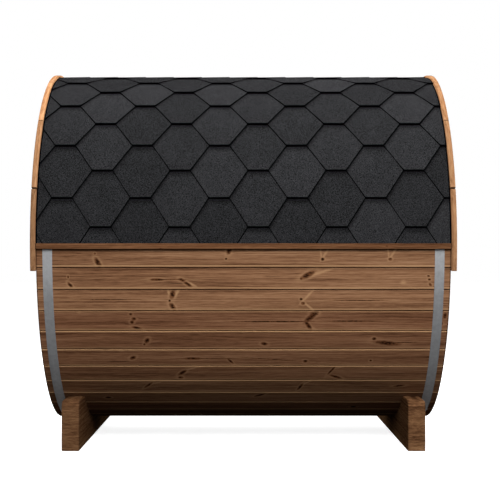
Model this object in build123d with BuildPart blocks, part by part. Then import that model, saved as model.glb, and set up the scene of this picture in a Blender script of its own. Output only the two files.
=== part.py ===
"""Barrel sauna: a horizontal barrel of staves on two cradles, with roofing over its upper half.

Millimetres. +Z is up, X runs along the barrel, and the origin is on the ground under its middle.
The near side is at -Y, and the door is in the end at +X.
Section angles are about the barrel's axis, in degrees from +Y towards +Z.
"""

import os
from math import asin, ceil, cos, degrees, pi, radians, sin

from build123d import *

os.makedirs("parts", exist_ok=True)

# Barrel
barrel_radius = 1000.0
barrel_length = 2150.0
ground_clearance = 96.0
stave_count = 54
stave_thickness = 42.0
stave_gap = 0.3
stave_chamfer = 4.5
bead_half_width = 8.0
bead_height = 3.0
bead_clearance = 0.3

# End walls, seated in a groove turned into the staves
wall_thickness = 42.0
wall_from_end = 38.0
groove_depth = 12.0
wall_clearance = 0.3

# Doorway in the +X wall, centred on the barrel's axis
doorway_width = 640.0
doorway_height = 1640.0
frame_width = 34.0
frame_proud = 10.0
leaf_thickness = 42.0
leaf_clearance = 4.0
ledge_width = 110.0
ledge_thickness = 22.0
ledge_from_edge = 170.0
ledge_bevel = 5.5

# Hinges and pulls of the door
hinge_count = 3
hinge_height = 80.0
hinge_frame_length = 26.0
hinge_strap_length = 210.0
hinge_plate_thickness = 3.0
hinge_knuckle_radius = 6.0
hinge_knuckle_round = 5.5
hinge_tip_height = 26.0
hinge_from_edge = 170.0
pull_length = 320.0
pull_width = 30.0
pull_depth = 48.0
pull_grip_gap = 26.0
pull_foot_length = 44.0
pull_from_edge = 60.0
pull_corner = 12.0

# Steel bands, round the staves over the end walls
band_width = 50.0
band_thickness = 1.5
band_seat = 0.2
band_mouth = 90.0

# Lugs and bolt that draw each band tight, under the barrel
lug_height = 34.0
lug_thickness = 5.0
bolt_radius = 5.0
bolt_clearance = 0.3
bolt_tail = 8.0
nut_radius = 9.8
nut_thickness = 8.0

# Roofing, in courses that each lap over the one below
roof_thickness = 15.0
roof_seat = 0.3
course_exposure = 154.7
first_exposure = 82.5
course_step = 4.0
ridge_least = 100.0

# Eave laths, under the feet of the roofing
lath_height = 29.0
lath_depth = 21.0
lath_top = 10.0
lath_edge = 3.0

# Gable trims, arc-cut boards on the ends of the staves
trim_thickness = 28.0
trim_proud = 8.0
trim_width = 85.0
trim_boards = 8
trim_drop_angle = 7.45
trim_gap = 3.0
trim_corner = 5.0

# Cradles
cradle_thickness = 92.0
cradle_half_width = 797.5
cradle_height = 269.0
cradle_from_end = 148.5
cradle_corner = 40.0
cradle_edge = 5.0
saddle_clearance = 0.4

# Worked out from the sizes above
half_length = barrel_length / 2
axis_height = ground_clearance + barrel_radius
half_pitch = pi / stave_count
outer_flat = barrel_radius * cos(half_pitch)
inner_flat = outer_flat - stave_thickness
inner_corner = inner_flat / cos(half_pitch)
groove_flat = inner_flat + groove_depth
bead_centre = (groove_flat + barrel_radius - stave_chamfer) / 2
wall_radius = groove_flat - wall_clearance
wall_outer = half_length - wall_from_end
wall_inner = wall_outer - wall_thickness
wall_centre = (wall_outer + wall_inner) / 2
door_face = wall_outer + frame_proud
leaf_width = doorway_width - 2 * frame_width - 2 * leaf_clearance
leaf_height = doorway_height - 2 * frame_width - 2 * leaf_clearance
band_inner_flat = outer_flat + band_seat
band_outer_flat = band_inner_flat + band_thickness
roof_inner = band_outer_flat / cos(half_pitch) + roof_seat
roof_outer = roof_inner + roof_thickness
trim_outer = roof_outer + trim_proud
trim_inner = trim_outer - trim_width
cradle_centre = half_length - cradle_from_end

across = Plane((0, 0, axis_height), x_dir=(0, 1, 0), z_dir=(1, 0, 0))
ends = {"door_end": 1, "back_end": -1}
sides = {"near": 180, "far": 0}


def polar(radius, angle):
    """The point of a section at a radius and an angle."""
    return (radius * cos(radians(angle)), radius * sin(radians(angle)))


def save(piece, name):
    """Labels a finished piece and writes its file."""
    piece.part.label = name
    export_step(piece.part, f"parts/{name}.step")


# Staves. Each has a bead on one edge, and a cove on the other that takes its neighbour's bead.
# The section is drawn with its middle on +X, so its edges lie half a pitch either side.
def edge_point(radius, outward, side=1):
    """A point of a stave's edge at a radius, and how far it stands out from the joint's plane."""
    x = radius * cos(half_pitch) - outward * sin(half_pitch)
    y = radius * sin(half_pitch) + outward * cos(half_pitch)
    return (x, side * y)


face_offset = -stave_gap / 2
bead_reach = bead_height + face_offset
cove_half_width = bead_half_width + bead_clearance
chamfer_y = barrel_radius * sin(half_pitch) + face_offset - stave_chamfer
bead_ends = [edge_point(bead_centre + w, face_offset) for w in (-bead_half_width, bead_half_width)]
bead_middle = edge_point(bead_centre, bead_reach)
cove_ends = [edge_point(bead_centre + w, face_offset, -1) for w in (cove_half_width, -cove_half_width)]
cove_middle = edge_point(bead_centre, -bead_reach - bead_clearance, -1)
with BuildSketch() as stave_section:
    with BuildLine():
        ThreePointArc(bead_ends[0], bead_middle, bead_ends[1])
        Polyline(
            bead_ends[1],
            edge_point(barrel_radius - stave_chamfer, face_offset),
            (outer_flat, chamfer_y),
            (outer_flat, -chamfer_y),
            edge_point(barrel_radius - stave_chamfer, face_offset, -1),
            cove_ends[0],
        )
        ThreePointArc(cove_ends[0], cove_middle, cove_ends[1])
        Polyline(
            cove_ends[1],
            edge_point(inner_corner, face_offset, -1),
            edge_point(inner_corner, face_offset),
            bead_ends[0],
        )
    make_face()

# A sixth of the ring at a time, every other stave in its own node, so that no two in a node touch
sixths = ["upper_far", "top", "upper_near", "lower_near", "bottom", "lower_far"]
staves_per_sixth = stave_count // len(sixths)
pitch = 360 / stave_count
for number, sixth in enumerate(sixths):
    middle = (number + 0.5) * staves_per_sixth * pitch
    for first, run in enumerate(("odd", "even")):
        count = len(range(first, staves_per_sixth, 2))
        start = middle + (first - (staves_per_sixth - 1) / 2) * pitch
        with BuildPart() as staves:
            with BuildSketch(across.offset(-half_length)):
                with PolarLocations(0, count, start_angle=start, angular_range=2 * pitch * count):
                    add(stave_section.sketch)
            extrude(amount=barrel_length)
            for end in ends.values():
                with BuildSketch(across.offset(end * wall_centre)):
                    RegularPolygon(groove_flat, stave_count, major_radius=False)
                extrude(amount=wall_thickness / 2 + wall_clearance, both=True, mode=Mode.SUBTRACT)
        save(staves, f"staves_{sixth}_{run}")


# End walls
with BuildPart() as back_wall:
    with BuildSketch(across.offset(-wall_centre)):
        Circle(wall_radius)
    extrude(amount=wall_thickness / 2, both=True)
save(back_wall, "back_wall")

wall_parts = {
    "near_doorway": (-(doorway_width + wall_radius) / 2, 0, wall_radius, 2 * wall_radius),
    "far_doorway": ((doorway_width + wall_radius) / 2, 0, wall_radius, 2 * wall_radius),
    "over_doorway": (0, (doorway_height + wall_radius) / 2, doorway_width, wall_radius),
    "under_doorway": (0, -(doorway_height + wall_radius) / 2, doorway_width, wall_radius),
}
for name, (y, z, width, height) in wall_parts.items():
    with BuildPart() as wall_part:
        with BuildSketch(across.offset(wall_centre)):
            Circle(wall_radius)
            with Locations((y, z)):
                Rectangle(width, height, mode=Mode.INTERSECT)
        extrude(amount=wall_thickness / 2, both=True)
    save(wall_part, f"door_wall_{name}")


# Door frame: two posts between a head and a sill
frame_depth = door_face - wall_inner
post_length = doorway_height - 2 * frame_width
with BuildPart() as frame_posts:
    with BuildSketch(across.offset(wall_inner)):
        with GridLocations(doorway_width - frame_width, 0, 2, 1):
            Rectangle(frame_width, post_length)
    extrude(amount=frame_depth)
save(frame_posts, "door_frame_posts")

with BuildPart() as frame_rails:
    with BuildSketch(across.offset(wall_inner)):
        with GridLocations(0, doorway_height - frame_width, 1, 2):
            Rectangle(doorway_width, frame_width)
    extrude(amount=frame_depth)
save(frame_rails, "door_frame_rails")


# Door leaf of upright planks, with two ledges across its inner face
leaf_inner = door_face - leaf_thickness
with BuildPart() as leaf:
    with BuildSketch(across.offset(leaf_inner)):
        Rectangle(leaf_width, leaf_height)
    extrude(amount=leaf_thickness)
save(leaf, "door_leaf")

with BuildPart() as ledges:
    with BuildSketch(across.offset(leaf_inner)):
        with GridLocations(0, leaf_height - 2 * ledge_from_edge - ledge_width, 1, 2):
            Rectangle(leaf_width - 2 * ledge_thickness, ledge_width)
    extrude(amount=-ledge_thickness)
    chamfer(ledges.faces().sort_by(Axis.X)[0:2].edges(), length=ledge_bevel)
save(ledges, "door_ledges")


# Strap hinges on the far side of the door, and a pull on each face on its near side
hinge_y = (leaf_width + leaf_clearance) / 2
hinge_span = leaf_height - 2 * hinge_from_edge
with BuildSketch() as hinge_outline:
    with BuildLine():
        Polyline(
            (hinge_frame_length, hinge_height / 2),
            (-hinge_frame_length, hinge_height / 2),
            (-2 * hinge_frame_length, hinge_tip_height),
            (-hinge_strap_length, hinge_tip_height / 2),
            (-hinge_strap_length, -hinge_tip_height / 2),
            (-2 * hinge_frame_length, -hinge_tip_height),
            (-hinge_frame_length, -hinge_height / 2),
            (hinge_frame_length, -hinge_height / 2),
            close=True,
        )
    make_face()

with BuildPart() as hinges:
    with BuildSketch(across.offset(door_face)):
        with Locations((hinge_y, 0)):
            with GridLocations(0, hinge_span / (hinge_count - 1), 1, hinge_count):
                add(hinge_outline.sketch)
    extrude(amount=hinge_plate_thickness)
    with BuildSketch(across.offset(door_face)):
        with Locations((hinge_y, 0)):
            with GridLocations(0, hinge_span / (hinge_count - 1), 1, hinge_count):
                Rectangle(2 * hinge_knuckle_radius, hinge_height)
    extrude(amount=hinge_knuckle_radius + hinge_plate_thickness)
    knuckle_tops = hinges.faces().sort_by(Axis.X)[-hinge_count:]
    fillet(knuckle_tops.edges().filter_by(Axis.Z), radius=hinge_knuckle_round)
save(hinges, "door_hinges")

pull_y = pull_from_edge + pull_width / 2 - leaf_width / 2
with BuildPart() as pulls:
    for face, out in ((door_face, 1), (leaf_inner, -1)):
        with BuildSketch(Plane((face, pull_y, axis_height), x_dir=(out, 0, 0), z_dir=(0, -out, 0))) as grip:
            with Locations((pull_depth / 2, 0)):
                Rectangle(pull_depth, pull_length)
            outer_corners = grip.vertices().group_by(Axis.X)[-1 if out > 0 else 0]
            fillet(outer_corners, radius=pull_corner)
            with Locations((pull_grip_gap / 2, 0)):
                Rectangle(pull_grip_gap, pull_length - 2 * pull_foot_length, mode=Mode.SUBTRACT)
        extrude(amount=pull_width / 2, both=True)
save(pulls, "door_pulls")


# Steel bands, each with its mouth and its two lugs under the barrel
bolt_drop = band_outer_flat + lug_height / 2
lug_span = band_mouth + 2 * lug_thickness
for end, out in ends.items():
    with BuildPart() as band:
        with BuildSketch(across.offset(out * wall_centre)):
            RegularPolygon(band_outer_flat, stave_count, major_radius=False)
            with Locations((0, -band_outer_flat - lug_height)):
                Rectangle(lug_span, 2 * lug_height, align=(Align.CENTER, Align.MIN))
            RegularPolygon(band_inner_flat, stave_count, major_radius=False, mode=Mode.SUBTRACT)
            with Locations((0, -bolt_drop)):
                Rectangle(band_mouth, 2 * lug_height, mode=Mode.SUBTRACT)
        extrude(amount=band_width / 2, both=True)
        with Locations(Location((out * wall_centre, 0, axis_height - bolt_drop), (90, 0, 0))):
            Cylinder(bolt_radius + bolt_clearance, 2 * lug_span, mode=Mode.SUBTRACT)
    save(band, f"band_{end}")

with BuildPart() as bolts:
    for out in ends.values():
        bolt_plane = Plane((out * wall_centre, 0, axis_height - bolt_drop), x_dir=(1, 0, 0), z_dir=(0, 1, 0))
        with BuildSketch(bolt_plane.offset(-lug_span / 2)):
            Circle(bolt_radius)
        extrude(amount=lug_span + nut_thickness + bolt_tail)
        for hand in (1, -1):
            with BuildSketch(bolt_plane.offset(hand * lug_span / 2)):
                RegularPolygon(nut_radius, 6)
            extrude(amount=hand * nut_thickness)
save(bolts, "band_bolts")


# Roofing. The lowest course stands on the eave lath, and a cap closes the ridge.
foot_angle = degrees(asin(lath_top / roof_inner))
course_angle = degrees(course_exposure / roof_outer)
first_angle = foot_angle + degrees(first_exposure / roof_outer)
full_courses = int((90 - first_angle - degrees(ridge_least / roof_outer)) / course_angle)
course_edges = [foot_angle] + [first_angle + course_angle * row for row in range(full_courses + 1)]
courses = len(course_edges) - 1
breaks = [ceil(courses * third / 3) for third in range(4)]
roof_thirds = dict(zip(("lower", "middle", "upper"), zip(breaks, breaks[1:])))
for side, turn in sides.items():
    hand = -1 if turn else 1
    for name, (lowest, highest) in roof_thirds.items():
        with BuildPart() as roofing:
            with BuildSketch(across.offset(-half_length)):
                with BuildLine():
                    for low, high in zip(course_edges[lowest:highest], course_edges[lowest + 1 : highest + 1]):
                        foot = polar(roof_outer, turn + hand * low)
                        middle = polar(roof_outer - course_step / 2, turn + hand * (low + high) / 2)
                        head = polar(roof_outer - course_step, turn + hand * high)
                        ThreePointArc(foot, middle, head)
                        if high < course_edges[highest]:
                            Line(head, polar(roof_outer, turn + hand * high))
                    low, high = course_edges[lowest], course_edges[highest]
                    inner_foot = polar(roof_inner, turn + hand * low)
                    inner_middle = polar(roof_inner, turn + hand * (low + high) / 2)
                    inner_head = polar(roof_inner, turn + hand * high)
                    Line(head, inner_head)
                    ThreePointArc(inner_head, inner_middle, inner_foot)
                    Line(inner_foot, polar(roof_outer, turn + hand * low))
                make_face()
            extrude(amount=barrel_length)
        save(roofing, f"roofing_{name}_{side}")

with BuildPart() as ridge_cap:
    with BuildSketch(across.offset(-half_length)):
        Circle(roof_outer)
        Circle(roof_inner, mode=Mode.SUBTRACT)
        with BuildLine():
            Polyline(
                (0, 0),
                polar(2 * roof_outer, course_edges[-1]),
                polar(2 * roof_outer, 180 - course_edges[-1]),
                close=True,
            )
        make_face(mode=Mode.INTERSECT)
    extrude(amount=barrel_length)
save(ridge_cap, "ridge_cap")


# Eave laths, lying on the bands under the roofing
for side, turn in sides.items():
    hand = -1 if turn else 1
    with BuildPart() as lath:
        with BuildSketch(across.offset(-half_length)):
            with Locations((hand * (roof_inner + lath_depth / 2), lath_top - lath_height / 2)):
                Rectangle(lath_depth, lath_height)
        extrude(amount=barrel_length)
        outer_edges = lath.faces().sort_by(Axis.Y)[-1 if hand > 0 else 0].edges().filter_by(Axis.X)
        fillet(outer_edges, radius=lath_edge)
    save(lath, f"eave_lath_{side}")


# Gable trims: boards cut to the arc, nailed on the ends of the staves and the roofing
board_angle = (180 + 2 * trim_drop_angle) / trim_boards
gap_angle = degrees(trim_gap / trim_outer)
cut = (board_angle - gap_angle) / 2
with BuildSketch() as trim_board:
    with BuildLine():
        outer_arc = ThreePointArc(polar(trim_outer, -cut), polar(trim_outer, 0), polar(trim_outer, cut))
        Line(outer_arc @ 1, polar(trim_inner, cut))
        ThreePointArc(polar(trim_inner, cut), polar(trim_inner, 0), polar(trim_inner, -cut))
        Line(polar(trim_inner, -cut), outer_arc @ 0)
    make_face()
    chamfer(trim_board.vertices().group_by(SortBy.DISTANCE)[-1], length=trim_corner)

boards_per_side = trim_boards // 2
for end, out in ends.items():
    for side, first_board in (("far", -trim_drop_angle), ("near", 90)):
        with BuildPart() as trim:
            with BuildSketch(across.offset(out * half_length)):
                with PolarLocations(
                    0,
                    boards_per_side,
                    start_angle=first_board + board_angle / 2,
                    angular_range=board_angle * boards_per_side,
                ):
                    add(trim_board.sketch)
            extrude(amount=out * trim_thickness)
        save(trim, f"gable_trim_{end}_{side}")


# Cradles, with a saddle cut for the barrel
cradle_top = cradle_height - axis_height
for end, out in ends.items():
    with BuildPart() as cradle:
        with BuildSketch(across.offset(out * cradle_centre)) as saddle:
            with Locations((0, cradle_top)):
                Rectangle(2 * cradle_half_width, cradle_height, align=(Align.CENTER, Align.MAX))
            fillet(saddle.vertices().group_by(Axis.Y)[-1], radius=cradle_corner)
            Circle(barrel_radius + saddle_clearance, mode=Mode.SUBTRACT)
        extrude(amount=cradle_thickness / 2, both=True)
        end_faces = cradle.faces().filter_by(Plane.XZ)
        chamfer(end_faces.edges().filter_by(Axis.Z), length=cradle_edge)
    save(cradle, f"cradle_{end}")
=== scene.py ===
"""Looks of the barrel sauna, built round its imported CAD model.

Metres. +Z is up, X runs along the barrel, the near side is at -Y and the door is in the end at +X.
Rise angles are about the barrel's axis, in degrees from the horizontal, upwards on either side.
"""

import random
from math import asin, cos, degrees, pi, radians, sin, sqrt, tau

import bmesh
import bpy
from mathutils import Matrix, Vector


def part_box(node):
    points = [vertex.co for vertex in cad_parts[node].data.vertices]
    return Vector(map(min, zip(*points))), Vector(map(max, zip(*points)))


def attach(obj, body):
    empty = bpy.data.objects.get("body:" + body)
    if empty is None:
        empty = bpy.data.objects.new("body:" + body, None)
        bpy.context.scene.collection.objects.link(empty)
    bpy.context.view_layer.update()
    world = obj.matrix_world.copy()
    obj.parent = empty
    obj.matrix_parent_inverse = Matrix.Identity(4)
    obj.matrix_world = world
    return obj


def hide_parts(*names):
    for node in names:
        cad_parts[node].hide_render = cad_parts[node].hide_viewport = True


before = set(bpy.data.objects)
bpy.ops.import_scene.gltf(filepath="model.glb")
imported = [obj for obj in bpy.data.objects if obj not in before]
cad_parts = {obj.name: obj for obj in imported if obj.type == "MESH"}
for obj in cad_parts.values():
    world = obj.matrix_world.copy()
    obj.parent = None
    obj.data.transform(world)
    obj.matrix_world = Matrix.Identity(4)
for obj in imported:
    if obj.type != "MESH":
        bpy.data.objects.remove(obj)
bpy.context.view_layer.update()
random.seed(7)

# Sizes read from the CAD nodes
wall_low, wall_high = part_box("back_wall")
cap_low, cap_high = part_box("ridge_cap")
trim_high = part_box("gable_trim_door_end_far")[1]
leaf_low, leaf_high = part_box("door_leaf")
posts_low, posts_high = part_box("door_frame_posts")
rails_low, rails_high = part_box("door_frame_rails")
lath_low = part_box("eave_lath_far")[0]
AXIS = (wall_low.z + wall_high.z) / 2
HALF_LENGTH = cap_high.x
WALL_RADIUS = (wall_high.z - wall_low.z) / 2
ROOF_OUTER = cap_high.z - AXIS
ROOF_INNER = lath_low.y

# Staves
STAVES = 54
STAVE_RADIUS = 1.0
STAVE_WIDTH = tau * STAVE_RADIUS / STAVES
STAVE_PITCH = tau / STAVES

# Roofing: hexagonal tabs of bitumen shingle, in courses counted from the eave
FOOT_RISE = degrees(asin((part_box("roofing_lower_far")[0].z - AXIS) / ROOF_INNER))
CAP_RISE = degrees(asin((cap_low.z - AXIS) / ROOF_INNER))
COURSES = 9
STARTER = -2
FIRST_EXPOSURE = 0.0825
FIRST_RISE = FOOT_RISE + degrees(FIRST_EXPOSURE / ROOF_OUTER)
COURSE_RISE = (CAP_RISE - FIRST_RISE) / COURSES
EXPOSURE = radians(COURSE_RISE) * ROOF_OUTER
TAB_PERIOD = 0.4075
TAB_FLAT = 0.106
TAB_SLOPE = TAB_PERIOD / 2 - TAB_FLAT
TAB_PHASE = {0: 0.077, 1: -0.127}
COURSE_STEP = 0.004
FELT = 0.0036
FELT_ROUND = 0.0008
ROOF_HALF = HALF_LENGTH - 0.0006


def point(x, radius, rise, side):
    """A point at a radius and a rise, in degrees, on the near side (-1) or the far side (1)."""
    return Vector((x, side * radius * cos(radians(rise)), AXIS + radius * sin(radians(rise))))


def colour(red, green, blue):
    """An sRGB colour, 0 to 255, as the linear colour that a shader takes."""
    shares = [channel / 255 for channel in (red, green, blue)]
    linear = [((share + 0.055) / 1.055) ** 2.4 if share > 0.04 else share / 12.92 for share in shares]
    return (*linear, 1.0)


# Materials


class Signal:
    """A number that a tree of nodes works out. Arithmetic on signals adds the nodes for it."""

    def __init__(self, finish, socket):
        self.finish = finish
        self.socket = socket

    def __add__(self, other):
        return self.finish.math("ADD", self, other)

    def __radd__(self, other):
        return self.finish.math("ADD", other, self)

    def __sub__(self, other):
        return self.finish.math("SUBTRACT", self, other)

    def __rsub__(self, other):
        return self.finish.math("SUBTRACT", other, self)

    def __mul__(self, other):
        return self.finish.math("MULTIPLY", self, other)

    def __rmul__(self, other):
        return self.finish.math("MULTIPLY", other, self)

    def __truediv__(self, other):
        return self.finish.math("DIVIDE", self, other)

    def __neg__(self):
        return self.finish.math("MULTIPLY", self, -1.0)

    def __abs__(self):
        return self.finish.math("ABSOLUTE", self)

    def whole(self):
        return self.finish.math("FLOOR", self)

    def squared(self):
        return self.finish.math("MULTIPLY", self, self)

    def root(self):
        return self.finish.math("SQRT", self)


class Nodes:
    """Short calls that add nodes to a tree."""

    def __init__(self, tree):
        self.nodes = tree.nodes
        self.links = tree.links

    def feed(self, socket, value):
        if isinstance(value, Signal):
            self.links.new(value.socket, socket)
        else:
            socket.default_value = value

    def math(self, operation, *values):
        node = self.nodes.new("ShaderNodeMath")
        node.operation = operation
        for socket, value in zip(node.inputs, values):
            self.feed(socket, value)
        return Signal(self, node.outputs[0])

    def position(self):
        coordinates = self.nodes.new("ShaderNodeTexCoord")
        split = self.nodes.new("ShaderNodeSeparateXYZ")
        self.links.new(coordinates.outputs["Object"], split.inputs[0])
        return [Signal(self, output) for output in split.outputs]

    def attribute(self, name):
        node = self.nodes.new("ShaderNodeAttribute")
        node.attribute_name = name
        return Signal(self, node.outputs["Fac"])

    def vector(self, x, y, z):
        node = self.nodes.new("ShaderNodeCombineXYZ")
        for socket, value in zip(node.inputs, (x, y, z)):
            self.feed(socket, value)
        return Signal(self, node.outputs[0])

    def noise(self, place, scale=1.0, detail=2.0, roughness=0.5):
        node = self.nodes.new("ShaderNodeTexNoise")
        self.feed(node.inputs["Vector"], place)
        node.inputs["Scale"].default_value = scale
        node.inputs["Detail"].default_value = detail
        node.inputs["Roughness"].default_value = roughness
        return Signal(self, node.outputs["Fac"])

    def cells(self, place, scale):
        """A random number for each grain of a packed texture, and the distance to the grain's middle."""
        node = self.nodes.new("ShaderNodeTexVoronoi")
        self.feed(node.inputs["Vector"], place)
        node.inputs["Scale"].default_value = scale
        split = self.nodes.new("ShaderNodeSeparateColor")
        self.links.new(node.outputs["Color"], split.inputs[0])
        return Signal(self, split.outputs[0]), Signal(self, node.outputs["Distance"])

    def chance(self, number):
        """A random number, 0 to 1, for each whole number."""
        node = self.nodes.new("ShaderNodeTexWhiteNoise")
        node.noise_dimensions = "1D"
        self.feed(node.inputs["W"], number)
        return Signal(self, node.outputs["Value"])

    def step(self, value, low, high):
        """0 below low, 1 above high and smooth between, or the other way round if low is above high."""
        node = self.nodes.new("ShaderNodeMapRange")
        node.interpolation_type = "SMOOTHSTEP"
        falls = low > high
        self.feed(node.inputs["Value"], value)
        node.inputs["From Min"].default_value = min(low, high)
        node.inputs["From Max"].default_value = max(low, high)
        node.inputs["To Min"].default_value = 1.0 if falls else 0.0
        node.inputs["To Max"].default_value = 0.0 if falls else 1.0
        return Signal(self, node.outputs["Result"])

    def ramp(self, value, stops, interpolation="LINEAR"):
        node = self.nodes.new("ShaderNodeValToRGB")
        self.feed(node.inputs[0], value)
        node.color_ramp.interpolation = interpolation
        elements = node.color_ramp.elements
        elements.remove(elements[1])
        elements[0].position, elements[0].color = stops[0]
        for place, tint in stops[1:]:
            elements.new(place).color = tint
        return Signal(self, node.outputs[0])

    def mix(self, factor, first, second, blend="MIX"):
        node = self.nodes.new("ShaderNodeMix")
        node.data_type = "RGBA"
        node.blend_type = blend
        self.feed(node.inputs["Factor"], factor)
        colours = [socket for socket in node.inputs if socket.type == "RGBA"]
        self.feed(colours[0], first)
        self.feed(colours[1], second)
        return Signal(self, next(socket for socket in node.outputs if socket.type == "RGBA"))

    def shade(self, tint, number, tones):
        """The tint times one of the tones, which a whole number picks."""
        stops = [(place / len(tones), tone) for place, tone in enumerate(tones)]
        return self.mix(1.0, tint, self.ramp((number + 0.5) / len(tones), stops, "CONSTANT"), "MULTIPLY")


class Finish(Nodes):
    """A material with one Principled shader."""

    def __init__(self, name, metallic=0.0, specular=0.0):
        self.material = bpy.data.materials.new(name)
        self.material.use_nodes = True
        super().__init__(self.material.node_tree)
        self.shader = self.nodes["Principled BSDF"]
        self.shader.inputs["Metallic"].default_value = metallic
        self.shader.inputs["Specular IOR Level"].default_value = specular

    def surface(self, tint, roughness, height=None, depth=0.001):
        """Feeds the shader. The height, 0 to 1, is a relief of that depth."""
        self.feed(self.shader.inputs["Base Color"], tint)
        self.feed(self.shader.inputs["Roughness"], roughness)
        if height is not None:
            bump = self.nodes.new("ShaderNodeBump")
            bump.inputs["Distance"].default_value = depth
            self.feed(bump.inputs["Height"], height)
            self.links.new(bump.outputs["Normal"], self.shader.inputs["Normal"])
        return self.material


def drawn_noise(f, place, along_scale, fine_scale, start=0.0, side=0.0, detail=1.0, roughness=0.5):
    """Noise drawn out along the grain. The scales are its repeats in a metre along and across the grain."""
    along, across, depth = place
    where = f.vector(along * along_scale + start, across * fine_scale + side, depth * fine_scale)
    return f.noise(where, 1.0, detail, roughness)


def grain(f, along, across, depth, seed):
    """Softwood grain as a tone and a relief, 0 dark to 1 light, and the place across it that wanders."""
    shift = seed * 37.0
    wander = drawn_noise(f, (along, across, depth), 0.9, 3.0, side=shift, detail=2.0)
    crossing = across + wander * 0.026
    place = (along, crossing, depth)
    streaks = drawn_noise(f, place, 1.3, 95.0, start=shift, side=shift, detail=4.0, roughness=0.72)
    drift = drawn_noise(f, place, 0.7, 11.0, start=shift, side=-shift)
    fibres = drawn_noise(f, place, 16.0, 330.0, start=shift, detail=3.0, roughness=0.65)

    rings_per_metre, pith_depth, pith_spread = 190.0, 0.045, 0.11
    pith = crossing - (seed - 0.5) * pith_spread
    from_pith = (pith.squared() + (depth + pith_depth).squared()).root()
    ring = f.math("FRACT", from_pith * rings_per_metre + shift)
    late_wood = f.step(ring, 0.55, 0.93) * f.step(ring, 1.0, 0.93)
    tone = streaks * 1.1 + drift * 0.45 - late_wood * 0.12 + fibres * 0.75 - 0.69
    return tone, fibres * 0.6 - late_wood * 0.4 + 0.5, crossing


def checks(f, along, crossing, depth, seed):
    """Fine dark cracks along the grain, 1 in the crack."""
    place = (along, crossing, depth)
    line = drawn_noise(f, place, 4.5, 210.0, start=seed * 91.0, roughness=0.4)
    patch = drawn_noise(f, place, 2.3, 7.0, side=seed * 53.0)
    return f.step(line, 0.735, 0.80) * f.step(patch, 0.52, 0.62)


# Heat-treated softwood, from its dark grain to its light grain
STAVE_WOOD = ((0.16, colour(88, 57, 38)), (0.45, colour(139, 100, 72)), (0.78, colour(170, 130, 98)))
DOOR_WOOD = ((0.16, colour(100, 66, 43)), (0.45, colour(148, 108, 77)), (0.78, colour(178, 137, 103)))
TRIM_WOOD = ((0.16, colour(116, 76, 47)), (0.45, colour(158, 114, 79)), (0.78, colour(186, 142, 103)))
LATH_WOOD = ((0.16, colour(54, 31, 18)), (0.45, colour(102, 70, 47)), (0.78, colour(136, 98, 69)))
CRADLE_WOOD = ((0.16, colour(56, 36, 23)), (0.45, colour(112, 80, 54)), (0.78, colour(154, 117, 83)))
KNOT_WOOD = colour(38, 21, 12)
KNOT_RING = colour(98, 58, 34)
KNOT_HALO = colour(176, 136, 100)
CRACK = colour(42, 25, 16)
# Dark of the joints, also used for painted shade at the staves' upper edges and in the corners at the ends
# of the barrel
GROOVE_AND_SHADE = colour(40, 24, 15)
# Painted highlight along the staves' edges
EDGE_HIGHLIGHT = colour(184, 146, 106)
# Black of bare bitumen, also used for painted shade and shadow on the shingles and for painted shade on the
# straps
BITUMEN_AND_SHADE = BAND_SHADE = colour(3, 3, 4)
FELT_GRANULES = ((0.24, colour(10, 10, 10)), (0.50, colour(32, 32, 33)), (0.76, colour(61, 61, 63)))

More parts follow.
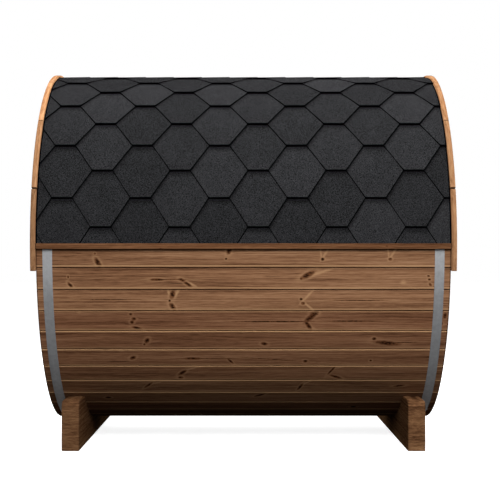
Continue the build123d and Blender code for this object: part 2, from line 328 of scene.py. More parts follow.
# Knots: stave counted down from the horizontal, X in metres, then in millimetres the height over the
# stave's middle, half the length and half the width, and the slant in degrees
KNOTS = (
    (0, -0.77, 16, 5, 4, 0),
    (0, -0.755, -30, 20, 9, -58),
    (0, -0.075, 30, 14, 9, 62),
    (0, -0.09, -11, 5, 4, 0),
    (0, 0.41, -13, 7, 6, 0),
    (0, 0.76, -13, 7, 6, 0),
    (1, -0.91, 11, 6, 4, 90),
    (1, -0.90, -33, 14, 6, -48),
    (1, -0.45, -4, 26, 5, 0),
    (1, -0.385, -4, 70, 2, 0),
    (1, -0.32, -6, 13, 6, -20),
    (1, -0.29, -28, 18, 6, -32),
    (1, 0.30, 1, 6, 5, 0),
    (1, 0.335, 22, 30, 10, 28),
    (1, 0.96, 15, 6, 4, 0),
    (1, 0.965, -3, 6, 5, 0),
    (1, 0.97, -30, 8, 5, -50),
    (2, -0.37, 32, 18, 10, 74),
    (2, -0.385, -2, 5, 5, 0),
    (2, -0.37, -34, 17, 9, -55),
    (2, -0.70, 6, 130, 2, 0),
    (2, 0.30, 8, 6, 5, 0),
    (2, 0.31, -15, 8, 6, 0),
    (2, 0.60, 0, 110, 2, 0),
    (3, -0.59, 40, 7, 5, 0),
    (3, -0.575, 13, 9, 7, 0),
    (3, -0.585, -6, 8, 7, 0),
    (3, -0.56, -40, 20, 6, -14),
    (3, 0.355, 26, 38, 10, 44),
    (3, 0.37, 44, 16, 7, -8),
    (3, 0.34, -26, 22, 8, -56),
    (3, 0.16, -2, 170, 3, 0),
    (3, 0.57, 0, 120, 3, 0),
    (3, 1.055, 32, 7, 12, 0),
    (3, 1.035, -14, 8, 9, 0),
    (4, -0.51, -2, 13, 9, 60),
    (4, -0.525, -26, 5, 5, 0),
    (4, 0.11, -22, 13, 8, -14),
    (4, 0.69, 10, 8, 7, 0),
    (4, 0.76, -18, 50, 10, -6),
    (4, 0.85, -14, 60, 2, 2),
    (5, -0.59, 0, 13, 9, 34),
    (5, -0.27, -6, 36, 6, 0),
    (5, -0.20, -6, 130, 2, 0),
    (5, -0.07, -24, 18, 5, -48),
    (5, 0.16, -12, 130, 2, -5),
    (5, 0.33, -25, 9, 7, 0),
    (5, 0.68, -20, 6, 5, 0),
    (6, -0.33, 4, 22, 8, 44),
    (6, -0.34, -36, 10, 7, 0),
    (6, 0.475, 24, 30, 5, 60),
    (6, 0.50, -30, 26, 7, -24),
    (7, -0.52, 12, 26, 6, 50),
    (7, 0.31, -4, 24, 6, 66),
    (7, 0.85, 5, 22, 6, 10),
    (8, -0.75, -4, 12, 8, 0),
    (8, 0.09, 24, 24, 7, 30),
    (9, 0.62, -20, 12, 8, 0),
    (10, -0.30, 4, 12, 8, 0),
    (11, 0.44, -4, 11, 7, 0),
    (12, -0.62, 8, 10, 8, 0),
)
# Pale sapwood that sweeps off some of the knots, in the same terms
SWEEPS = (
    (0, 0.425, 18, 40, 5, 58),
    (0, 0.40, 22, 30, 4, 98),
    (0, 0.775, 18, 40, 5, 58),
    (0, 0.75, 22, 30, 4, 98),
    (1, 0.40, 34, 62, 6, 18),
    (1, 0.83, -18, 12, 10, 0),
    (1, -0.265, -30, 24, 5, -30),
    (2, 0.335, 26, 50, 5, 48),
    (2, 0.345, -36, 36, 5, -40),
    (2, -0.345, 44, 26, 6, 60),
    (2, -0.39, 46, 20, 5, 110),
    (3, 0.385, 38, 22, 6, 30),
    (3, -0.86, 50, 10, 5, 0),
    (3, 0.365, -40, 22, 6, -30),
    (5, -0.65, 50, 14, 4, 0),
    (6, -0.27, 40, 34, 4, 20),
    (6, 0.505, 42, 30, 4, 14),
    (7, -0.47, 34, 26, 4, 20),
    (7, 0.34, 30, 26, 4, 40),
)
# A streak that is wider than this pushes the grain aside
PUSHING_WIDTH = 5
# How far the knots of the far side lie from those of the near side, along the barrel
FAR_SHIFT = 0.46

# How light each stave is, counted down from the horizontal: each stave's own tone, and on the top stave
# painted shade from the lath over it
STAVE_TONES_AND_SHADE = [
    (level, level * warmth, level * warmth, 1.0)
    for level, warmth in (
        (0.84, 1.0), (0.94, 1.0), (1.03, 1.0), (0.79, 0.92), (0.80, 0.93), (0.91, 0.95), (0.82, 0.96),
        (0.85, 1.0), (0.66, 0.97), (0.64, 0.90), (0.62, 0.88), (0.7, 0.9), (0.7, 0.9), (0.7, 0.9),
    )
]

# Painted highlights and shade, and the dark joints, along a stave's edges: where they start and where they
# are full, in stave widths above its middle
LOW_LINE_TOP = (-0.375, -0.39)
LOW_LINE_FOOT = (-0.44, -0.425)
TOP_LINE = (0.425, 0.445)
LOW_GROOVE = (-0.463, -0.474)
TOP_GROOVE = (0.486, 0.495)
WOOD_RELIEF = 0.0012


# Streaks: the knots and the sapwood that sweeps off them
STREAK_INPUTS = (
    "row", "along", "upwards", "number", "x", "height", "long", "wide", "cosine", "sine", "push",
)
FAR_AWAY = 90.0


def streak_group():
    """Nodes that add one streak to the distance to the nearest so far, and to the push on the grain."""
    tree = bpy.data.node_groups.new("streak", "ShaderNodeTree")
    for name in (*STREAK_INPUTS, "nearest", "bulge"):
        tree.interface.new_socket(name, in_out="INPUT", socket_type="NodeSocketFloat")
    for name in ("nearest", "bulge"):
        tree.interface.new_socket(name, in_out="OUTPUT", socket_type="NodeSocketFloat")
    g = Nodes(tree)
    given = {socket.name: Signal(g, socket) for socket in tree.nodes.new("NodeGroupInput").outputs}
    elsewhere = FAR_AWAY - FAR_AWAY * g.math("COMPARE", given["row"], given["number"], 0.5)
    dx, dv = given["along"] - given["x"], given["upwards"] - given["height"]
    p = (dx * given["cosine"] + dv * given["sine"]) / given["long"]
    q = (dv * given["cosine"] - dx * given["sine"]) / given["wide"]
    nearest = g.math("MINIMUM", p.squared() + q.squared() + elsewhere, given["nearest"])
    reach = (dx * 28.0).squared() + (dv * 60.0).squared() + elsewhere
    bulge = dv * g.math("EXPONENT", -reach) * given["push"] + given["bulge"]
    leave = tree.nodes.new("NodeGroupOutput")
    g.feed(leave.inputs["nearest"], nearest)
    g.feed(leave.inputs["bulge"], bulge)
    return tree


def streak_field(f, streaks, row, along, upwards):
    """Distance to the nearest streak, 1 at its edge, and how far they push the grain aside."""
    group = bpy.data.node_groups.get("streak") or streak_group()
    nearest, bulge = FAR_AWAY, 0.0
    for number, x, height, half_long, half_wide, slant in streaks:
        node = f.nodes.new("ShaderNodeGroup")
        node.node_tree = group
        push = 1.0 if half_wide > PUSHING_WIDTH else 0.0
        values = (row, along, upwards, float(number), x, height / 1000, half_long / 1000, half_wide / 1000)
        values += (cos(radians(slant)), sin(radians(slant)), push)
        for name, value in zip((*STREAK_INPUTS, "nearest", "bulge"), (*values, nearest, bulge)):
            f.feed(node.inputs[name], value)
        nearest, bulge = (Signal(f, output) for output in node.outputs)
    return nearest.root(), bulge


def end_line(f, x):
    """1 in a strip along the ends of the barrel, where painted shade goes against the trims, and 0 on the
    end faces themselves.
    """
    past_end = abs(x) - HALF_LENGTH
    return f.step(past_end, -0.007, -0.003) * f.step(past_end, -0.0002, -0.001)


def stave_wood():
    """Wood of the staves, with their knots, the painted highlights and shade along their edges, and the
    dark joints between them.
    """
    f = Finish("stave_wood")
    x, y, z = f.position()
    turn = f.math("ARCTAN2", AXIS - z, -y) / STAVE_PITCH
    stave = turn.whole()
    far = f.math("GREATER_THAN", stave, STAVES / 4)
    row = stave + far * (STAVES / 2 - 1 - 2 * stave)
    seed = f.chance(stave + 0.5)
    across = (0.5 + stave - turn) * STAVE_WIDTH
    upwards = across * (1 - 2 * far)
    along = x + far * (FAR_SHIFT - 2 * x)
    depth = (y.squared() + (z - AXIS).squared()).root() - STAVE_RADIUS

    ragged = f.noise(f.vector(x * 60.0, across * 110.0, seed * 50.0), 1.0, 2.0) - 0.5
    knot, bulge = streak_field(f, KNOTS, row, along, upwards)
    sweep = streak_field(f, SWEEPS, row, along, upwards)[0]
    knot = knot + ragged * 0.7
    sweep = sweep + ragged * 0.9

    tone, relief, crossing = grain(f, along, upwards - bulge * 0.8, depth, seed)
    tint = f.ramp(tone, STAVE_WOOD)
    tint = f.mix(f.step(sweep, 1.9, 0.2) * 0.8, tint, KNOT_HALO)
    tint = f.mix(f.step(knot, 3.2, 1.4) * 0.42, tint, KNOT_HALO)
    tint = f.mix(f.step(knot, 1.9, 1.0) * 0.8, tint, KNOT_RING)
    heart = f.mix(f.step(ragged, 0.0, 0.16), KNOT_WOOD, KNOT_RING)
    tint = f.mix(f.step(knot + ragged * 0.8, 1.3, 0.35) * 0.95, tint, heart)
    crack = checks(f, along, crossing, depth, seed)
    tint = f.mix(crack * 0.85, tint, CRACK)
    # Each stave's own tone, with painted shade on the top stave under the lath
    tint = f.shade(tint, row, STAVE_TONES_AND_SHADE)

    # Painted highlights where the light catches the lower edge of each stave, and from the fourth stave
    # down its upper edge too; on the three upper staves the upper edge gets painted shade instead. The dark
    # grooves are the joints.
    edge = upwards / STAVE_WIDTH
    lower = f.step(row, 2.5, 3.5)
    skin = f.step(depth, -0.008, -0.003)
    low_line = f.step(edge, *LOW_LINE_TOP) * f.step(edge, *LOW_LINE_FOOT) * (0.62 - lower * 0.3)
    top_line = f.step(edge, *TOP_LINE)
    tint = f.mix(low_line * skin, tint, EDGE_HIGHLIGHT)
    tint = f.mix(top_line * lower * 0.6 * skin, tint, EDGE_HIGHLIGHT)
    tint = f.mix(top_line * (0.38 - lower * 0.38), tint, GROOVE_AND_SHADE)
    tint = f.mix(f.step(edge, *LOW_GROOVE), tint, GROOVE_AND_SHADE)
    tint = f.mix(f.step(edge, *TOP_GROOVE), tint, GROOVE_AND_SHADE)
    # Painted shade in the corner where the staves meet the trims
    tint = f.mix(end_line(f, x) * 0.7, tint, GROOVE_AND_SHADE)
    roughness = 0.7 - relief * 0.16 + crack * 0.2
    height = relief - crack * 0.8 - f.step(knot, 1.0, 0.7) * 0.5
    return f.surface(tint, roughness, height, WOOD_RELIEF)


def board_wood(name, stops, axes, boards=False, flat_sawn=False, end_shade=0.0):
    """Wood of straight boards. axes names the directions along, across and through the board.

    boards takes the seed and the dark joints from the fields of the mesh, flat_sawn draws the grain out
    across the board, and end_shade darkens the ends.
    """
    f = Finish(name)
    place = dict(zip("xyz", f.position()))
    along, across, depth = (place[axis] for axis in axes)
    if boards:
        seed = f.attribute("tone")
    else:
        seed = f.chance(f.math("SIGN", across if flat_sawn else depth) + 3.5)
    if flat_sawn:
        tone, relief, crossing = grain(f, along, across * 0.12, depth, seed)
    else:
        tone, relief, crossing = grain(f, along, across, depth * 0.5, seed)
    tint = f.ramp(tone, stops)
    tint = f.mix(seed * 0.2, tint, KNOT_RING)
    knot = f.cells(f.vector(along * 1.6 + seed * 19.0, across * 6.0 + seed * 7.0, 0.0), 5.0)[1]
    tint = f.mix(f.step(knot, 0.11, 0.05) * 0.6, tint, KNOT_RING)
    tint = f.mix(f.step(knot, 0.06, 0.03), tint, KNOT_WOOD)
    crack = checks(f, along, crossing, depth, seed)
    tint = f.mix(crack * 0.8, tint, CRACK)
    if boards:
        tint = f.mix(f.step(f.attribute("climb"), 0.9, 0.2) * 0.8, tint, GROOVE_AND_SHADE)
    if flat_sawn:
        tint = f.mix(f.step(across, 0.1, -0.1) * 0.26, tint, KNOT_WOOD)
    if end_shade:
        tint = f.mix(end_line(f, place["x"]) * end_shade, tint, GROOVE_AND_SHADE)
    return f.surface(tint, 0.62 - relief * 0.16, relief - crack * 0.8, WOOD_RELIEF)


def metal(name, dark, light, direction, roughness, metallic=1.0, specular=0.5):
    """Zinc-coated steel with fine marks, round the barrel or flat, and the soft mottle of the coat."""
    f = Finish(name, metallic, specular)
    x, y, z = f.position()
    if direction == "round":
        turn = f.math("ARCTAN2", AXIS - z, -y)
        place = f.vector(turn * 2.0, x * 700.0, 0.0)
    else:
        place = f.vector(x * 400.0, y * 60.0, z * 60.0)
    marks = f.noise(place, 1.0, 3.0, 0.6)
    mottle = f.noise(f.vector(x, y, z), 38.0, 3.0, 0.6)
    tint = f.ramp(marks * 0.5 + mottle * 0.5, ((0.35, dark), (0.65, light)))
    if direction == "round":
        # Painted shade on the straps: darker below the eaves, most of all halfway down to the ground
        painted_band_shade = f.step(z, 1.04, 0.76) * (0.17 + f.step(z, 0.28, 0.46) * 0.13)
        tint = f.mix(painted_band_shade, tint, BAND_SHADE)
    return f.surface(tint, marks * 0.16 + (roughness - 0.08), marks, 0.0002)


# Where a tab's shade starts and is full, in metres: from the tabs that lap it, its foot, its cut edges
# and the end of the roof
SLOPE_SHADE = (0.020, 0.0)
FLAT_SHADE = (0.042, 0.0)
FOOT_LINE = (0.0080, 0.0060)
CUT_LINE = (0.0040, 0.0024)
END_LINE = (-0.010, -0.006)


def shingle_felt():
    """Mineral granules on bitumen. Each tab has painted shade under the tabs that lap it, and a dark line
    at its cut edge that is partly bare bitumen and partly painted shadow.
    """
    f = Finish("shingle_felt")
    x, y, z = f.position()
    place = f.vector(x, y, z)
    grit, seat = f.cells(place, 560.0)
    clumps = f.noise(place, 240.0, 3.0, 0.75)
    patch = f.noise(place, 9.0, 3.0, 0.55)
    # Painted light and shade: the granules lighter at the top of the roof and a little darker partway up
    # its sides
    painted_roof_light = f.step(z, 1.65, 2.08) * 0.045 - f.step(z, 1.22, 1.5) * 0.020
    tone = grit * 0.5 + clumps * 0.75 + patch * 0.1 + f.attribute("tone") * 0.1 + painted_roof_light - 0.215
    tint = f.ramp(tone, FELT_GRANULES)

    climb, offset = f.attribute("climb"), f.attribute("offset")
    lean = f.math("MAXIMUM", abs(y) / ROOF_OUTER, 0.55)
    rise_of_slope = lean * EXPOSURE
    slant = rise_of_slope / (rise_of_slope.squared() + TAB_SLOPE**2).root()
    sideways = abs(offset) - TAB_FLAT / 2
    past_edge = (climb * TAB_SLOPE - sideways) * slant
    past_lap = ((2 - climb) * TAB_SLOPE - sideways) * slant
    # Painted shadow under the tabs that lap this one, as if lit from the upper left: fainter on the tab's
    # right-hand half, where the dark line along its own cut edge is drawn wider
    right = f.step(offset, -0.002, 0.002)
    below_slope = f.step(past_lap, *SLOPE_SHADE) * (1 - right * 0.8)
    below_flat = f.step((2 - climb) * EXPOSURE, *FLAT_SHADE)
    tint = f.mix(f.math("MAXIMUM", below_slope, below_flat) * 0.6, tint, BITUMEN_AND_SHADE)
    # Dark lines at the tab's foot, along its cut edges and at the ends of the roof: partly bare bitumen and
    # the joint at the trims, partly painted shadow
    foot = f.step(climb * rise_of_slope, *FOOT_LINE)
    cut = f.step(past_edge - right * 0.0022, *CUT_LINE)
    roof_end = f.step(abs(x) - HALF_LENGTH, *END_LINE)
    dark = f.math("MAXIMUM", f.math("MAXIMUM", foot, cut), roof_end)
    tint = f.mix(dark, tint, BITUMEN_AND_SHADE)
    return f.surface(tint, 0.9, 1.0 - seat, 0.0006)


# Meshes


class Shape:
    """Points and faces gathered for one mesh. Its fields hold numbers of the points for the materials."""

    def __init__(self):
        self.points = []
        self.faces = []
        self.fields = {"tone": [], "climb": [], "offset": []}

    def loft(self, loops, tone=0.5, climbs=None, offsets=None):
        """A closed skin through loops of equal length, capped at both ends."""
        start, size = len(self.points), len(loops[0])
        for number, loop in enumerate(loops):
            self.points.extend(loop)
            self.fields["tone"].extend([tone] * size)
            self.fields["climb"].extend(climbs[number] if climbs else [1.0] * size)
            self.fields["offset"].extend([offsets[number] if offsets else 0.0] * size)
        for row in range(len(loops) - 1):
            here, there = start + row * size, start + (row + 1) * size
            for k in range(size):
                after = (k + 1) % size
                self.faces.append((here + k, here + after, there + after, there + k))
        self.faces.append(tuple(start + k for k in reversed(range(size))))
        self.faces.append(tuple(start + (len(loops) - 1) * size + k for k in range(size)))

    def piece(self, name, material, nodes=(), smooth=None):
        """The mesh as an object of the sauna that may stand for CAD nodes."""
        mesh = bpy.data.meshes.new(name)
        mesh.from_pydata(self.points, [], self.faces)
        for attribute, values in self.fields.items():
            mesh.attributes.new(attribute, "FLOAT", "POINT").data.foreach_set("value", values)
        work = bmesh.new()
        work.from_mesh(mesh)
        bmesh.ops.recalc_face_normals(work, faces=work.faces)
        work.to_mesh(mesh)
        work.free()
        if smooth:
            mesh.shade_smooth()
            mesh.set_sharp_from_angle(angle=radians(smooth))
        mesh.materials.append(material)
        made = bpy.data.objects.new(name, mesh)
        bpy.context.scene.collection.objects.link(made)
        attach(made, "root")
        if nodes:
            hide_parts(*nodes)
        return made


# Roofing


def tab_foot(offset):
    """How far up its course a tab's lower edge is, 0 to 1, at a distance from the tab's middle."""
    return min(max((abs(offset) - TAB_FLAT / 2) / TAB_SLOPE, 0.0), 1.0)


def felt_loop(x, side, course, foot, head, drop):
    """A shingle's section at one X, from its lower edge round its back, and how far up each point is."""
    steps = 7
    climbs = [foot + (head - foot) * k / steps for k in range(steps + 1)]
    rises = [FIRST_RISE + COURSE_RISE * (course + climb) for climb in climbs]
    radii = [ROOF_OUTER - COURSE_STEP * climb - drop for climb in climbs]
    top = [point(x, radius, rise, side) for radius, rise in zip(radii, rises)]
    back = [point(x, radius - FELT, rise, side) for radius, rise in zip(radii, rises)]
    edge = point(x, radii[0] - FELT_ROUND, rises[0], side)
    top[0] = point(x, radii[0], rises[0] + degrees(FELT_ROUND / ROOF_OUTER), side)
    return [edge] + top + back[::-1], [foot] + climbs + climbs[::-1]


def shingles(name, side, courses, nodes):
    """The tabs of some courses on one side. The starter course under them all has a straight edge."""
    shape = Shape()
    for course in courses:
        starter = course == STARTER
        head = min(2.15, COURSES - course + 0.6)
        lowest = (FOOT_RISE - FIRST_RISE) / COURSE_RISE - course
        phase = TAB_PHASE[course % 2] * -side
        for slot in (0,) if starter else range(-4, 5):
            middle = phase + slot * TAB_PERIOD
            reach = 2 * HALF_LENGTH if starter else TAB_PERIOD / 2
            low, high = max(middle - reach, -ROOF_HALF), min(middle + reach, ROOF_HALF)
            if high - low < 0.002:
                continue
            turns = [TAB_FLAT / 2, TAB_FLAT / 2 + TAB_SLOPE]
            if 0 < lowest < 1:
                turns.append(TAB_FLAT / 2 + lowest * TAB_SLOPE)
            offsets = {hand * turn for turn in turns for hand in (-1, 1)} | {low - middle, high - middle}
            columns = sorted({round(w, 6) for w in offsets if low - 1e-6 <= middle + w <= high + 1e-6})
            jitter = random.uniform(-0.0008, 0.0008)
            drop = random.uniform(0.0, 0.0004)
            loops, climbs = [], []
            for w in columns:
                foot = max(0.0 if starter else tab_foot(w), lowest)
                x = min(max(middle + w + jitter, -ROOF_HALF), ROOF_HALF)
                loop, climb = felt_loop(x, side, course, foot, head, drop)
                loops.append(loop)
                climbs.append(climb)
            shape.loft(loops, random.random(), climbs, [0.0 if starter else w * -side for w in columns])
    return shape.piece(name, finishes["shingle"], nodes, smooth=30)


def ridge_caps():
    """Caps bent over the ridge, each over the last one's head, with their open ends towards the door."""
    shape = Shape()
    count, steps, lap, head_drop, seat = 13, 8, 0.02, 0.0026, 0.0002
    exposure = 2 * ROOF_HALF / count
    for cap in range(count):
        foot = ROOF_HALF - cap * exposure
        head = max(foot - exposure - lap, -ROOF_HALF)
        skew = random.uniform(-0.06, 0.06)
        loops, climbs = [], []
        for x, drop in ((foot, 0.0), (head, head_drop)):
            rises = [CAP_RISE + skew + (180 - 2 * CAP_RISE) * k / steps for k in range(steps + 1)]
            top = [point(x, ROOF_OUTER - drop, rise, -1) for rise in rises]
            bottom = [point(x, ROOF_OUTER - COURSE_STEP + seat, rise, -1) for rise in reversed(rises)]
            loops.append(top + bottom)
            climbs.append([1.8 * (foot - x) / EXPOSURE] * len(loops[-1]))
        shape.loft(loops, random.random(), climbs)
    return shape.piece("ridge_caps", finishes["shingle"], ("ridge_cap",), smooth=30)


def roof_felt():
    """The felt under the shingles, from eave to eave, thicker over the 20 degrees above each eave."""
    shape = Shape()
    steps = 90
    rises = [FOOT_RISE + (180 - 2 * FOOT_RISE) * k / steps for k in range(steps + 1)]
    thickness = [0.0045 - 0.0025 * min(min(rise, 180 - rise) / 20, 1.0) for rise in rises]
    loops = []
    for x in (-ROOF_HALF, ROOF_HALF):
        top = [point(x, ROOF_INNER + 0.0005 + thick, rise, -1) for rise, thick in zip(rises, thickness)]
        bottom = [point(x, ROOF_INNER + 0.0002, rise, -1) for rise in reversed(rises)]
        loops.append(top + bottom)
    shape.loft(loops)
    return shape.piece("roof_felt", finishes["shingle"], smooth=30)


# Walls and door of upright boards
BOARD_CHAMFER = 0.004
BOARD_JOINT = 0.0006
# Boards beside the doorway on each side, and as many over and under it
SIDE_BOARDS = 5
DOOR_BOARDS = 5
BACK_BOARDS = 15
EDGE_REACH = WALL_RADIUS * 0.996


def board(shape, outline, inner, outer):
    """An upright board from its outline in Y and Z, with chamfered long edges on both faces."""
    low, high = min(y for y, z in outline), max(y for y, z in outline)
    soft = BOARD_CHAMFER
    loops, shown = [], []
    for x, inset in ((inner, soft), (inner + soft, 0), (outer - soft, 0), (outer, soft)):
        loops.append([Vector((x, min(max(y, low + inset), high - inset), z)) for y, z in outline])
        shown.append([1.0 if inset else 0.0] * len(outline))
    shape.loft(loops, random.random(), shown)


def board_edges(low, high, count):
    """The two edges of each of some equal boards from one Y to another, with a joint between them."""
    width = (high - low) / count
    half_joint = BOARD_JOINT / 2
    return [(low + k * width + half_joint, low + (k + 1) * width - half_joint) for k in range(count)]


def arc_across(low, high, hand):
    """Points of the end wall's edge from one Y to another, over (1) or under (-1) the axis."""
    steps = 5
    across = [low + (high - low) * k / steps for k in range(steps + 1)]
    return [(y, AXIS + hand * sqrt(max(WALL_RADIUS**2 - y**2, 0.0))) for y in across]


def wall_boards(name, nodes, low, high, count, end, bottom=None, top=None):
    """Boards of the door end's wall (1) or the back wall (-1), from one Y to another. They run to the
    wall's edge, or to a level at their bottom or top."""
    shape = Shape()
    inner, outer = (wall_low.x, wall_high.x) if end < 0 else (-wall_high.x, -wall_low.x)
    for left, right in board_edges(low, high, count):
        over = arc_across(left, right, 1) if top is None else [(left, top), (right, top)]
        under = arc_across(left, right, -1) if bottom is None else [(left, bottom), (right, bottom)]
        board(shape, over + under[::-1], inner, outer)
    return shape.piece(name, finishes["wall"], nodes)


def door_planks():
    """The boards of the door leaf."""
    shape = Shape()
    for left, right in board_edges(leaf_low.y, leaf_high.y, DOOR_BOARDS):
        outline = [(left, leaf_high.z), (right, leaf_high.z), (right, leaf_low.z), (left, leaf_low.z)]
        board(shape, outline, leaf_low.x, leaf_high.x)
    return shape.piece("door_planks", finishes["door"], ("door_leaf",))


# Gable trims: boards cut to the arc, with rounded edges, screwed on the ends of the staves
TRIM_BOARDS = 8
TRIM_OUTER = 1.02488
TRIM_WIDTH = 0.085
TRIM_DROP = 7.45
TRIM_JOINTS = (0.0, 0.007, 0.0026, 0.004, 0.003, 0.004, 0.0026, 0.007, 0.0)
SCREW_RADIUS = 0.0045
SCREW_HEIGHT = 0.0008
BOARD_RISE = (180 + 2 * TRIM_DROP) / TRIM_BOARDS


def trim_board(shape, end, number):
    """One board of an end's trim, counted from the far eave, with rounded edges and ends."""
    first = -TRIM_DROP + number * BOARD_RISE + degrees(TRIM_JOINTS[number] / 2)
    last = -TRIM_DROP + (number + 1) * BOARD_RISE - degrees(TRIM_JOINTS[number + 1] / 2)
    inner_x, outer_x = HALF_LENGTH, trim_high.x - SCREW_HEIGHT
    soft, steps = 0.004, 14
    section = (
        (inner_x, 0.0),
        (inner_x, TRIM_WIDTH - soft / 2),
        (inner_x + soft / 2, TRIM_WIDTH),
        (outer_x - soft, TRIM_WIDTH),
        (outer_x - soft * 0.3, TRIM_WIDTH - soft * 0.3),
        (outer_x, TRIM_WIDTH - soft),
        (outer_x, soft),
        (outer_x - soft * 0.3, soft * 0.3),
        (outer_x - soft, 0.0),
    )
    ends = ((0.0, 0.0022, 0.0), (0.0007, 0.0007, 0.0), (0.0022, 0.0, 0.6), (0.008, 0.0, 1.0))
    stations = [(first + degrees(reach), inset, shown) for reach, inset, shown in ends]
    stations += [(first + (last - first) * k / steps, 0.0, 1.0) for k in range(1, steps)]
    stations += [(last - degrees(reach), inset, shown) for reach, inset, shown in reversed(ends)]
    loops = []
    for rise, inset, shown in stations:
        loop = []
        for x, w in section:
            w = min(max(w, inset), TRIM_WIDTH - inset)
            loop.append(point(end * min(x, outer_x - inset), TRIM_OUTER - TRIM_WIDTH + w, rise, 1))
        loops.append(loop)
    shape.loft(loops, random.random(), [[shown] * len(section) for rise, inset, shown in stations])


def screw(shape, centre, normal, radius, height):
    """A domed screw head with a socket in it."""
    normal = Vector(normal)
    sideways = normal.orthogonal().normalized()
    other = normal.cross(sideways)
    sides = 12
    spokes = [cos(tau * k / sides) * sideways + sin(tau * k / sides) * other for k in range(sides)]
    loops = []
    for scale, lift in ((1.0, 0.0), (0.9, 0.7), (0.62, 1.0), (0.4, 1.0), (0.36, 0.2)):
        loops.append([centre + radius * scale * spoke + normal * height * lift for spoke in spokes])
    shape.loft(loops)


def gable_trims():
    """The boards of both ends, with two screws near each end of each board."""
    screws = Shape()
    half = TRIM_BOARDS // 2
    for end_name, end in (("door_end", 1), ("back_end", -1)):
        face = end * (trim_high.x - SCREW_HEIGHT)
        for side_name, numbers in (("far", range(half)), ("near", range(half, TRIM_BOARDS))):
            shape = Shape()
            for number in numbers:
                trim_board(shape, end, number)
                for place in (0.09, 0.91):
                    rise = -TRIM_DROP + (number + place) * BOARD_RISE
                    for width in (0.25, 0.75):
                        centre = point(face, TRIM_OUTER - TRIM_WIDTH * width, rise, 1)
                        screw(screws, centre, (end, 0, 0), SCREW_RADIUS, SCREW_HEIGHT)
            name, node = f"trim_boards_{end_name}_{side_name}", f"gable_trim_{end_name}_{side_name}"
            shape.piece(name, finishes["trim"], (node,), smooth=50)
    screws.piece("trim_screws", finishes["fastener"], smooth=40)


# How light each board is, from the far eave over to the near one: the door end, then the back end. Partly
# each board's own tone, partly painted light: the upper boards lighter, most of all at the back end, which
# stands on the left, as if lit from the upper left
TRIM_TONES_AND_LIGHT = [
    (level, level * 1.03, level * 1.06, 1.0)
    for level in (
        1.0, 0.9, 1.15, 1.1, 1.15, 1.1, 0.9, 0.93,
        0.85, 1.0, 1.3, 1.3, 1.4, 1.5, 1.0, 0.75,
    )
]


def trim_wood():
    """Wood of the trims. Each board is cut from a straight plank, so its grain is straight."""
    f = Finish("trim_wood")
    x, y, z = f.position()
    rise = f.math("ARCTAN2", z - AXIS, y)
    turned = f.math("LESS_THAN", rise, -pi / 2) * tau
    number = ((rise + turned) / radians(BOARD_RISE) + TRIM_DROP / BOARD_RISE).whole()
    middle = (number + 0.5) * radians(BOARD_RISE) - radians(TRIM_DROP)
    cosine, sine = f.math("COSINE", middle), f.math("SINE", middle)
    along = (z - AXIS) * cosine - y * sine
    across = (z - AXIS) * sine + y * cosine - TRIM_OUTER
    seed = f.chance(number + f.math("SIGN", x) * 20 + 0.5)
    tone, relief, crossing = grain(f, along, across, x, seed)
    tint = f.ramp(tone, TRIM_WOOD)
    # Each board's own tone together with painted light, from the list above
    tint = f.shade(tint, number + TRIM_BOARDS * f.math("LESS_THAN", x, 0.0), TRIM_TONES_AND_LIGHT)
    tint = f.mix(f.step(f.attribute("climb"), 0.7, 0.0) * 0.75, tint, CRACK)
    crack = checks(f, along, crossing, x, seed)
    tint = f.mix(crack * 0.7, tint, CRACK)
    return f.surface(tint, 0.6 - relief * 0.16, relief - crack * 0.8, WOOD_RELIEF)


# Steel bands: a strap drawn round the staves, with a lug at each side of its mouth underneath
STRAP_INNER = 0.9999
STRAP_THICKNESS = 0.0015
STRAP_STEPS = 120
LUG_THICKNESS = 0.005
LUG_ROUND = 0.008
HALF_MOUTH = 0.045


def band(name, node):
    """A strap from lug to lug, whose width is that of its CAD node."""
    shape = Shape()
    low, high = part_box(node)
    soft = 0.0004
    outer = STRAP_INNER + STRAP_THICKNESS
    section = (
        (low.x, STRAP_INNER),
        (low.x, outer - soft),
        (low.x + soft, outer),
        (high.x - soft, outer),
        (high.x, outer - soft),
        (high.x, STRAP_INNER),
    )
    first = -90 + degrees(asin(HALF_MOUTH / outer))
    rises = [first + (360 - 2 * (90 + first)) * k / STRAP_STEPS for k in range(STRAP_STEPS + 1)]
    shape.loft([[point(x, radius, rise, 1) for x, radius in section] for rise in rises])
    top = AXIS - STRAP_INNER - 0.0002
    corners = [(low.x, top), (high.x, top)]
    for centre_x, start in ((high.x - LUG_ROUND, 0), (low.x + LUG_ROUND, -90)):
        for k in range(5):
            angle = radians(start - k * 22.5)
            centre_z = low.z + LUG_ROUND
            corners.append((centre_x + LUG_ROUND * cos(angle), centre_z + LUG_ROUND * sin(angle)))
    for hand in (-1, 1):
        faces = (hand * HALF_MOUTH, hand * (HALF_MOUTH + LUG_THICKNESS))
        shape.loft([[Vector((x, y, z)) for x, z in corners] for y in faces])
    return shape.piece(name, finishes["band"], (node,), smooth=30)


def hinge_screws():
    """Two screws in the plate and three in the strap of each of the three hinges."""
    shape = Shape()
    hinge_low, hinge_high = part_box("door_hinges")
    strap_thickness, plate_height, radius, height = 0.003, 0.08, 0.005, 0.0012
    face = leaf_high.x + strap_thickness
    plate_y = hinge_high.y - 0.012
    strap_y = [hinge_low.y + reach for reach in (0.02, 0.085, 0.15)]
    for k in (-1, 0, 1):
        z = AXIS + k * (hinge_high.z - hinge_low.z - plate_height) / 2
        for y, lift in ((plate_y, 0.022), (plate_y, -0.022), *((y, 0.0) for y in strap_y)):
            screw(shape, Vector((face, y, z + lift)), (1, 0, 0), radius, height)
    return shape.piece("hinge_screws", finishes["fastener"], smooth=40)


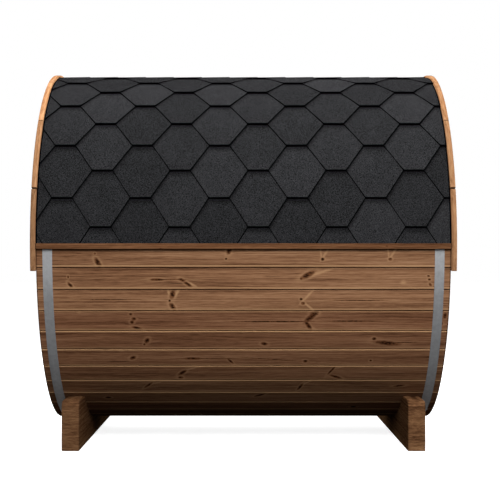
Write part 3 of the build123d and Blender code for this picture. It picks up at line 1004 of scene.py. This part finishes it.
# The finishes, and the CAD nodes that keep their shape
finishes = {
    "stave": stave_wood(),
    "wall": board_wood("wall_wood", STAVE_WOOD, "zyx", boards=True),
    "door": board_wood("door_wood", DOOR_WOOD, "zyx", boards=True),
    "post": board_wood("post_wood", TRIM_WOOD, "zxy"),
    "rail": board_wood("rail_wood", TRIM_WOOD, "yxz"),
    "lath": board_wood("lath_wood", LATH_WOOD, "xzy", end_shade=0.7),
    "trim": trim_wood(),
    "cradle": board_wood("cradle_wood", CRADLE_WOOD, "yxz", flat_sawn=True),
    "band": metal("band_steel", colour(136, 137, 139), colour(158, 159, 161), "round", 0.6, 0.04, 0.05),
    "fastener": metal("fastener_steel", colour(140, 141, 143), colour(186, 187, 189), "flat", 0.36),
    "hinge": metal("hinge_steel", colour(46, 46, 48), colour(66, 66, 69), "flat", 0.5),
    "shingle": shingle_felt(),
}
CAD_FINISHES = {
    "staves": "stave",
    "eave_lath": "lath",
    "cradle": "cradle",
    "door_frame_posts": "post",
    "door_frame_rails": "rail",
    "door_ledges": "rail",
    "door_pulls": "post",
    "door_hinges": "hinge",
    "band_bolts": "fastener",
}
for name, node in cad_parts.items():
    for start, finish in CAD_FINISHES.items():
        if name.startswith(start):
            node.data.materials.clear()
            node.data.materials.append(finishes[finish])

thirds = {"lower": range(STARTER, 2), "middle": range(2, 5), "upper": range(5, COURSES)}
for side_name, side in (("near", -1), ("far", 1)):
    for third, courses in thirds.items():
        shingles(f"shingles_{third}_{side_name}", side, courses, (f"roofing_{third}_{side_name}",))
ridge_caps()
roof_felt()

wall_boards("back_wall_boards", ("back_wall",), -EDGE_REACH, EDGE_REACH, BACK_BOARDS, -1)
near, far = posts_low.y, posts_high.y
wall_boards("door_wall_boards_near", ("door_wall_near_doorway",), -EDGE_REACH, near, SIDE_BOARDS, 1)
wall_boards("door_wall_boards_far", ("door_wall_far_doorway",), far, EDGE_REACH, SIDE_BOARDS, 1)
over, under = ("door_wall_over_doorway",), ("door_wall_under_doorway",)
wall_boards("door_wall_boards_over", over, near, far, SIDE_BOARDS, 1, bottom=rails_high.z)
wall_boards("door_wall_boards_under", under, near, far, SIDE_BOARDS, 1, top=rails_low.z)
door_planks()
gable_trims()
band("band_strap_door_end", "band_door_end")
band("band_strap_back_end", "band_back_end")
hinge_screws()


# Floor, light and camera
def background_rays(nodes, links):
    """1 for the rays that show the background: the camera's, and those that gloss and glass pass on."""
    rays = nodes.new("ShaderNodeLightPath")
    total = rays.outputs["Is Camera Ray"]
    for name in ("Is Glossy Ray", "Is Transmission Ray"):
        either = nodes.new("ShaderNodeMath")
        either.operation = "MAXIMUM"
        links.new(total, either.inputs[0])
        links.new(rays.outputs[name], either.inputs[1])
        total = either.outputs[0]
    return total


def diffuse(nodes, level):
    """A grey shader, from 0 black to 1 white."""
    shader = nodes.new("ShaderNodeBsdfDiffuse")
    shader.inputs["Color"].default_value = (level, level, level, 1)
    return shader


def floor():
    """A pale floor. The camera sees it white with the sauna's shadow, and little of it bounces back."""
    mesh = bpy.data.meshes.new("floor")
    reach = 60.0
    corners = [(-reach, -reach, 0), (reach, -reach, 0), (reach, reach, 0), (-reach, reach, 0)]
    mesh.from_pydata(corners, [], [(0, 1, 2, 3)])
    made = bpy.data.objects.new("floor", mesh)
    bpy.context.scene.collection.objects.link(made)
    material = bpy.data.materials.new("floor_white")
    material.use_nodes = True
    nodes, links = material.node_tree.nodes, material.node_tree.links
    nodes.clear()
    seen, unseen = diffuse(nodes, 0.8), diffuse(nodes, 0.02)
    glow = nodes.new("ShaderNodeEmission")
    glow.inputs["Strength"].default_value = 0.8
    both = nodes.new("ShaderNodeAddShader")
    links.new(seen.outputs[0], both.inputs[0])
    links.new(glow.outputs[0], both.inputs[1])
    pick = nodes.new("ShaderNodeMixShader")
    links.new(background_rays(nodes, links), pick.inputs[0])
    links.new(unseen.outputs[0], pick.inputs[1])
    links.new(both.outputs[0], pick.inputs[2])
    output = nodes.new("ShaderNodeOutputMaterial")
    links.new(pick.outputs[0], output.inputs[0])
    mesh.materials.append(material)


def sky():
    """A soft, even light from all round, and white where the camera sees it."""
    world = bpy.data.worlds.new("studio")
    bpy.context.scene.world = world
    world.use_nodes = True
    nodes, links = world.node_tree.nodes, world.node_tree.links
    background = nodes["Background"]
    background.inputs["Color"].default_value = (1, 1, 1, 1)
    strength = nodes.new("ShaderNodeMapRange")
    strength.inputs["To Min"].default_value = 0.36
    strength.inputs["To Max"].default_value = 1.0
    links.new(background_rays(nodes, links), strength.inputs["Value"])
    links.new(strength.outputs[0], background.inputs["Strength"])


def lamp(name, place, size, power):
    """A square soft box that faces the middle of the sauna."""
    data = bpy.data.lights.new(name, "AREA")
    data.size = size
    data.energy = power
    made = bpy.data.objects.new(name, data)
    bpy.context.scene.collection.objects.link(made)
    target = Vector((0, 0, AXIS))
    direction = target - Vector(place)
    made.matrix_world = Matrix.Translation(place) @ direction.to_track_quat("-Z", "Y").to_matrix().to_4x4()


# Soft boxes: name, place, size in metres and power in watts
LAMPS = (
    ("front_box", (0.6, -6.4, 3.9), 3.0, 430),
    ("back_box", (-0.6, 6.4, 3.9), 3.0, 380),
    ("top_box", (0.0, 0.0, 6.5), 4.0, 300),
    ("door_box", (7.4, -1.0, 3.2), 3.0, 260),
    ("end_box", (-7.4, 1.0, 3.2), 3.0, 260),
)
# The photograph's camera, level and square to the side
CAMERA_PLACE = (0.0, -7.232, 0.992)
CAMERA_LENS = 86.70
CAMERA_SENSOR = 36
CAMERA_SHIFT = (0.0130, 0.0311)

floor()
sky()
for name, place, size, power in LAMPS:
    lamp(name, place, size, power)

camera_data = bpy.data.cameras.new("camera")
camera_data.lens = CAMERA_LENS
camera_data.sensor_width = CAMERA_SENSOR
camera_data.shift_x, camera_data.shift_y = CAMERA_SHIFT
camera = bpy.data.objects.new("camera", camera_data)
camera.location = CAMERA_PLACE
camera.rotation_euler = (radians(90), 0, 0)
bpy.context.scene.collection.objects.link(camera)
bpy.context.scene.camera = camera
bpy.context.scene.view_settings.view_transform = "Standard"

bpy.context.view_layer.update()
